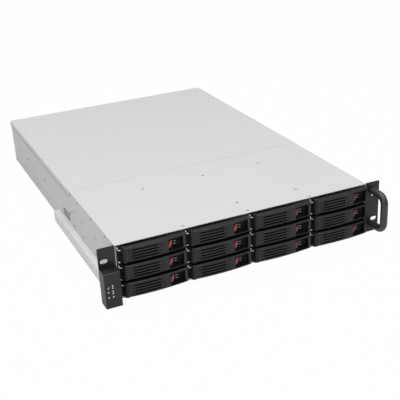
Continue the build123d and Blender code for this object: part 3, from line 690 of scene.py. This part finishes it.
def screw_head(diameter, proud, sides, recess):
    """A low domed head at the origin that faces up, with a cross recess where asked."""
    start_piece()
    radius = diameter / 2
    depth = proud + 0.5 * MM
    bpy.ops.mesh.primitive_cylinder_add(vertices=sides, radius=radius, depth=depth,
                                        location=(0, 0, proud - depth / 2))
    head = bpy.context.object
    bpy.ops.object.transform_apply(location=True, rotation=False, scale=False)
    select_faces(head, lambda middle, normal: normal.z > ALIKE)
    bpy.ops.mesh.bevel(offset=min(proud * 0.8, radius * 0.2), segments=2)
    bpy.ops.object.mode_set(mode="OBJECT")
    if recess:
        cutter = cross_cutter(radius * 1.1, radius * 0.26, 1.2 * MM)
        cut = head.modifiers.new("Recess", "BOOLEAN")
        cut.operation = "DIFFERENCE"
        cut.solver = "EXACT"
        cut.use_self = True
        cut.object = cutter
        bpy.context.view_layer.objects.active = head
        bpy.ops.object.modifier_apply(modifier="Recess")
        bpy.data.objects.remove(cutter)
    return head


def facing(direction, place, turn=0.0):
    """Matrix that takes a piece that faces up to a place, where it faces a direction."""
    toward = Vector(direction).to_track_quat("Z", "Y").to_matrix().to_4x4()
    return Matrix.Translation(Vector(place)) @ toward @ Matrix.Rotation(turn, 4, "Z")


def on_both_walls(places):
    """Matrices that take a piece that faces up to places on the left wall and on the right one."""
    return [facing(side, (x, y, z)) for y, z in places
            for side, x in ((LEFT, PAN_LOW.x), (RIGHT, PAN_HIGH.x))]


class CHASSIS_OT_sheet_metal(bpy.types.Operator):
    """Finish the bare sheet metal of the body"""
    bl_idname = "chassis.sheet_metal"
    bl_label = "Sheet metal"

    def execute(self, context):
        dress(["base_pan", "front_top_panel", "rear_cover", "rear_panel", "slot_blanks",
               "supply_bay", "fan_bracket"], "zinc")
        # The duct's finish is the same zinc made lighter as painted light
        dress(["cable_duct"], "bright")
        dress(["drive_cage"], "cage")
        dress(["cover_thumbscrews"], "plated")
        return {"FINISHED"}


class CHASSIS_OT_front_parts(bpy.types.Operator):
    """Finish the rack ears, the handle and the control box"""
    bl_idname = "chassis.front_parts"
    bl_label = "Ears and control box"

    def execute(self, context):
        dress(["left_ear", "right_ear"], "powder")
        dress(["ear_handle"], "handle")
        dress(["control_box"], "moulding")
        dress(["power_button", "reset_button"], "button")
        dress(["indicator_lenses"], "lens")
        return {"FINISHED"}


class CHASSIS_OT_drive_trays(bpy.types.Operator):
    """Finish the trays, their levers and their latches"""
    bl_idname = "chassis.drive_trays"
    bl_label = "Drive trays"

    def execute(self, context):
        dress(numbered("drive_tray", CELLS), "tray")
        dress(numbered("tray_lever", CELLS), "moulding")
        dress(numbered("tray_latch", CELLS), "latch")
        return {"FINISHED"}


class CHASSIS_OT_inner_parts(bpy.types.Operator):
    """Finish the backplane, its connectors and the fans"""
    bl_idname = "chassis.inner_parts"
    bl_label = "Backplane and fans"

    def execute(self, context):
        dress(["backplane"], "board")
        dress(["drive_connectors"], "nylon")
        dress(["fan_frames", *numbered("fan_rotor", COLUMNS)], "fan")
        return {"FINISHED"}


class CHASSIS_OT_top_screws(bpy.types.Operator):
    """Flush cross-head screws in the roof panel"""
    bl_idname = "chassis.top_screws"
    bl_label = "Roof screws"

    def execute(self, context):
        head = screw_head(sizes().screw_head, sizes().head_height, sizes().head_sides, True)
        spots = [facing(UP, (x * MM, y * MM, ROOF_HIGH.z), index * ROOF_SCREW_TURN)
                 for index, (x, y) in enumerate(ROOF_SCREWS)]
        settle(join_copies(head, "roof_screws", spots), "chassis", "dull")
        return {"FINISHED"}


class CHASSIS_OT_side_rivets(bpy.types.Operator):
    """Flush rivets in both side walls"""
    bl_idname = "chassis.side_rivets"
    bl_label = "Side rivets"

    def execute(self, context):
        head = screw_head(sizes().rivet_head, sizes().head_height, sizes().head_sides, False)
        spots = on_both_walls((y * MM, z * MM) for y, z in SIDE_RIVETS)
        settle(join_copies(head, "side_rivets", spots), "chassis", "dark")
        return {"FINISHED"}


class CHASSIS_OT_rail_screws(bpy.types.Operator):
    """Blackened screws in the slide rail holes of both side walls"""
    bl_idname = "chassis.rail_screws"
    bl_label = "Rail screws"

    def execute(self, context):
        head = screw_head(sizes().rail_head, sizes().head_height, sizes().head_sides, True)
        spots = on_both_walls((PAN_HIGH.y - back * MM, RAIL_HEIGHT * MM)
                              for back in RAIL_HOLES_FROM_REAR)
        settle(join_copies(head, "rail_screws", spots), "chassis", "blackened")
        return {"FINISHED"}


class CHASSIS_OT_side_shadow_strips(bpy.types.Operator):
    """Dark strip under the cover's flange on each side, a painted shadow of the flange, and dark
    mesh in the vent slots
    """
    bl_idname = "chassis.side_seals"
    bl_label = "Shadow strips and vent mesh"

    def execute(self, context):
        start = COVER_LOW.y + SHADOW_STRIP_FROM_SEAM * MM
        # The dark strip under the flange is a painted shadow
        shadow_strip = (SHADOW_STRIP_THICKNESS * MM, PAN_HIGH.y - start, sizes().shadow_strip_height)
        shadow_strip_z = COVER_HIGH.z - COVER_FLANGE * MM - sizes().shadow_strip_height / 2
        self.make_bars("cover_shadow_strips", shadow_strip, (start + PAN_HIGH.y) / 2, [shadow_strip_z], SHADOW_STRIP_PROUD * MM)
        self.make_bars("vent_mesh", tuple(side * MM for side in VENT_MESH),
                       COVER_LOW.y + VENT_FROM_SEAM * MM,
                       [height * MM for height in VENT_HEIGHTS], -VENT_SUNK * MM)
        return {"FINISHED"}

    def make_bars(self, name, size, y, heights, proud):
        """Bars along both walls, centred a little outside or inside the wall's face."""
        start_piece()
        bpy.ops.mesh.primitive_cube_add(size=1, scale=size)
        bar = bpy.context.object
        bpy.ops.object.transform_apply(location=False, rotation=False, scale=True)
        select_faces(bar, lambda middle, normal: abs(normal.y) > ALIKE)
        bpy.ops.mesh.bevel(offset=0.15 * MM, segments=2)
        bpy.ops.object.mode_set(mode="OBJECT")
        spots = [Matrix.Translation((x, y, z)) for z in heights
                 for x in (PAN_LOW.x - proud, PAN_HIGH.x + proud)]
        settle(join_copies(bar, name, spots), "chassis", "rubber")


class CHASSIS_OT_cover_pins(bpy.types.Operator):
    """Two small flush pins near the left edge of the rear cover, and the same at its right"""
    bl_idname = "chassis.cover_pins"
    bl_label = "Cover pins"

    def execute(self, context):
        head = screw_head(sizes().rivet_head, sizes().head_height, sizes().head_sides, False)
        spots = [facing(UP, (side * x * MM, y * MM, COVER_HIGH.z))
                 for side in (-1, 1) for x, y in COVER_PINS]
        settle(join_copies(head, "cover_pins", spots), "cover", "dull")
        return {"FINISHED"}


class CHASSIS_OT_rear_screws(bpy.types.Operator):
    """Screws of the rear panel and of the card slot blanks"""
    bl_idname = "chassis.rear_screws"
    bl_label = "Rear screws"

    def execute(self, context):
        head = screw_head(sizes().screw_head, 3 * sizes().head_height, sizes().head_sides, True)
        spots = [facing(BACK, (x * MM, REAR_HIGH.y, z * MM), x * REAR_SCREW_TURN)
                 for x, z in REAR_SCREWS + CARD_SCREWS]
        settle(join_copies(head, "rear_screws", spots), "chassis", "plated")
        return {"FINISHED"}


class CHASSIS_OT_power_mark(bpy.types.Operator):
    """Broken ring and stroke, the usual power sign, on the power button"""
    bl_idname = "chassis.power_mark"
    bl_label = "Power mark"

    def execute(self, context):
        low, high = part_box("power_button")
        middle = (low + high) / 2
        start_piece()
        bpy.ops.mesh.primitive_torus_add(major_radius=RING_RADIUS * MM,
                                         minor_radius=WIRE_RADIUS * MM,
                                         major_segments=36, minor_segments=8)
        mark = bpy.context.object
        mark.name = "power_mark"
        select_faces(mark, lambda centre, normal:
                     centre.y > GAP_START * MM and abs(centre.x) < GAP_HALF * MM)
        bpy.ops.mesh.delete(type="FACE")
        bpy.ops.mesh.select_all(action="DESELECT")
        bpy.ops.mesh.select_mode(type="EDGE")
        bpy.ops.mesh.select_non_manifold()
        bpy.ops.mesh.fill()
        bpy.ops.mesh.primitive_cube_add(size=1, scale=tuple(side * MM for side in STROKE),
                                        location=(0, STROKE_UP * MM, 0))
        bpy.ops.object.mode_set(mode="OBJECT")
        mark.data.transform(facing(FRONT, (middle.x, low.y, middle.z)))
        settle(mark, "power", "mark")
        return {"FINISHED"}


class CHASSIS_OT_board_parts(bpy.types.Operator):
    """Chips and power headers on the back of the backplane"""
    bl_idname = "chassis.board_parts"
    bl_label = "Board parts"

    def execute(self, context):
        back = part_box("backplane")[1].y
        for name, size, places in BOARD_PARTS:
            start_piece()
            bpy.ops.mesh.primitive_cube_add(size=1, scale=tuple(value * MM for value in size))
            part = bpy.context.object
            bpy.ops.object.transform_apply(location=False, rotation=False, scale=True)
            select_faces(part, lambda middle, normal: normal.y > ALIKE)
            bpy.ops.mesh.inset(thickness=1.0 * MM)
            sunk = (0, -0.3 * size[1] * MM, 0)
            bpy.ops.mesh.extrude_region_move(TRANSFORM_OT_translate={"value": sunk})
            bpy.ops.object.mode_set(mode="OBJECT")
            spots = [Matrix.Translation((x * MM, back + size[1] / 2 * MM, z * MM))
                     for x, z in places]
            settle(join_copies(part, name, spots), "chassis", "chip")
        return {"FINISHED"}


class CHASSIS_OT_tray_windows(bpy.types.Operator):
    """Two indicator windows beside the latch of each tray"""
    bl_idname = "chassis.tray_windows"
    bl_label = "Tray windows"

    def execute(self, context):
        for index in range(CELLS):
            self.make_pair(index)
        return {"FINISHED"}

    def make_pair(self, index):
        """The two windows of one tray."""
        row, column = divmod(index, COLUMNS)
        left = CELL_LEFT + column * COLUMN_PITCH
        floor = CELL_FLOOR + (ROWS - 1 - row) * ROW_PITCH
        start_piece()
        bpy.ops.mesh.primitive_cube_add(
            size=1, scale=(sizes().window_width, 1.2 * MM, sizes().window_height))
        window = bpy.context.object
        bpy.ops.object.transform_apply(location=False, rotation=False, scale=True)
        select_faces(window, lambda middle, normal: normal.y < -ALIKE)
        bpy.ops.mesh.bevel(offset=0.2 * MM, segments=2)
        bpy.ops.object.mode_set(mode="OBJECT")
        spots = [Matrix.Translation((left + WINDOW_ACROSS * MM, WINDOW_FRONT * MM, floor + up * MM))
                 for up in WINDOWS_UP]
        pair = join_copies(window, f"tray_windows_{index + 1}", spots)
        settle(pair, f"tray_{index + 1}", "window")


class CHASSIS_OT_studio(bpy.types.Operator):
    """Floor, lamps, sky and camera"""
    bl_idname = "chassis.studio"
    bl_label = "Studio"

    def execute(self, context):
        context.scene.view_settings.view_transform = "Standard"
        settings = context.scene.chassis_studio
        self.make_floor()
        self.make_sky(settings)
        self.make_lamp("Key lamp", settings.key, KEY_PLACE, KEY_SIZE)
        self.make_lamp("Fill lamp", settings.fill, FILL_PLACE, FILL_SIZE)
        self.make_camera(context, settings)
        return {"FINISHED"}

    def make_floor(self):
        """A pale floor that shows white to the camera and keeps a soft shadow."""
        start_piece()
        bpy.ops.mesh.primitive_circle_add(vertices=96, radius=FLOOR_RADIUS, fill_type="NGON",
                                          location=(0, 0, -0.5 * MM))
        floor = bpy.context.object
        floor.name = "studio_floor"
        material = bpy.data.materials.new("Studio floor")
        material.use_nodes = True
        tree = material.node_tree
        tree.nodes.remove(tree.nodes["Principled BSDF"])
        matt = add_node(tree, "BsdfDiffuse", Color=opaque(FLOOR_TONE))
        glow = add_node(tree, "Emission", Strength=1.0)
        rays = add_node(tree, "LightPath")
        glossy = maths(tree, "MULTIPLY", rays.outputs["Is Glossy Ray"], FLOOR_IN_GLOSS)
        seen = maths(tree, "MAXIMUM", rays.outputs["Is Camera Ray"],
                     maths(tree, "MAXIMUM", glossy, rays.outputs["Is Transmission Ray"]))
        mixed = add_node(tree, "MixShader", Fac=maths(tree, "MULTIPLY", seen, FLOOR_WHITE))
        feed(tree, mixed.inputs[1], matt.outputs[0])
        feed(tree, mixed.inputs[2], glow.outputs[0])
        feed(tree, tree.nodes["Material Output"].inputs["Surface"], mixed.outputs[0])
        floor.data.materials.append(material)

    def make_sky(self, settings):
        """Light from above, weaker at the horizon and at the left, and white to the camera."""
        world = bpy.data.worlds.new("Studio sky")
        bpy.context.scene.world = world
        world.use_nodes = True
        tree = world.node_tree
        rays = add_node(tree, "LightPath")
        seen = maths(tree, "MAXIMUM", rays.outputs["Is Camera Ray"],
                     rays.outputs["Is Transmission Ray"])
        toward = add_node(tree, "SeparateXYZ",
                          Vector=tree.nodes.new("ShaderNodeTexCoord").outputs["Generated"])
        sky_light = spread(tree, toward.outputs["Z"], *SKY_RISE,
                           settings.sky * settings.horizon, settings.sky)
        shaded = spread(tree, toward.outputs["X"], *SKY_SIDE, settings.left, 1.0)
        strength = maths(tree, "MAXIMUM", seen, maths(tree, "MULTIPLY", sky_light, shaded))
        sky = tree.nodes["Background"]
        sky.inputs["Color"].default_value = (1, 1, 1, 1)
        feed(tree, sky.inputs["Strength"], strength)

    def make_lamp(self, name, power, place, size):
        """A square soft lamp that points at the chassis."""
        lamp = bpy.data.objects.new(name, bpy.data.lights.new(name, "AREA"))
        lamp.data.energy = power
        lamp.data.size = size
        lamp.location = place
        aim = Vector(LAMP_AIM) - Vector(place)
        lamp.rotation_euler = aim.to_track_quat("-Z", "Y").to_euler()
        bpy.context.collection.objects.link(lamp)

    def make_camera(self, context, settings):
        """Camera at the viewing angle of the photograph."""
        camera = bpy.data.objects.new("Camera", bpy.data.cameras.new("Camera"))
        camera.data.lens = settings.focal
        camera.data.sensor_width = SENSOR_WIDTH
        camera.data.clip_start = 0.01
        camera.data.clip_end = 50
        turned = (Matrix.Rotation(-settings.turn, 4, "Z")
                  @ Matrix.Rotation(math.pi / 2 - settings.tilt, 4, "X")
                  @ Matrix.Rotation(settings.roll, 4, "Z"))
        camera.matrix_world = Matrix.Translation(Vector(settings.camera_place)) @ turned
        context.collection.objects.link(camera)
        context.scene.camera = camera


class CHASSIS_PT_panel(bpy.types.Panel):
    """Sidebar panel that lists the steps"""
    bl_label = "Rackmount chassis"
    bl_idname = "CHASSIS_PT_panel"
    bl_space_type = "VIEW_3D"
    bl_region_type = "UI"
    bl_category = "Chassis"

    def draw(self, context):
        for settings, kind in SETTINGS:
            box = self.layout.box()
            for name in kind.__annotations__:
                box.prop(getattr(context.scene, settings), name)
        for step in STEPS:
            self.layout.operator(step.bl_idname)


SETTINGS = (("chassis_colours", ChassisColours), ("chassis_sizes", ChassisSizes),
            ("chassis_studio", StudioSettings))
STEPS = (CHASSIS_OT_sheet_metal, CHASSIS_OT_front_parts, CHASSIS_OT_drive_trays,
         CHASSIS_OT_inner_parts, CHASSIS_OT_top_screws, CHASSIS_OT_side_rivets,
         CHASSIS_OT_rail_screws, CHASSIS_OT_side_shadow_strips, CHASSIS_OT_cover_pins,
         CHASSIS_OT_rear_screws, CHASSIS_OT_power_mark, CHASSIS_OT_board_parts,
         CHASSIS_OT_tray_windows, CHASSIS_OT_studio)


def register():
    """Adds the classes and the scene's settings."""
    for name, kind in SETTINGS:
        bpy.utils.register_class(kind)
        setattr(bpy.types.Scene, name, PointerProperty(type=kind))
    for kind in (*STEPS, CHASSIS_PT_panel):
        bpy.utils.register_class(kind)


def unregister():
    """Takes them away again."""
    for kind in (CHASSIS_PT_panel, *reversed(STEPS)):
        bpy.utils.unregister_class(kind)
    for name, kind in reversed(SETTINGS):
        delattr(bpy.types.Scene, name)
        bpy.utils.unregister_class(kind)


def main():
    """Makes everything."""
    register()
    for step in STEPS:
        family, name = step.bl_idname.split(".")
        getattr(getattr(bpy.ops, family), name)()


if __name__ == "__main__":
    main()
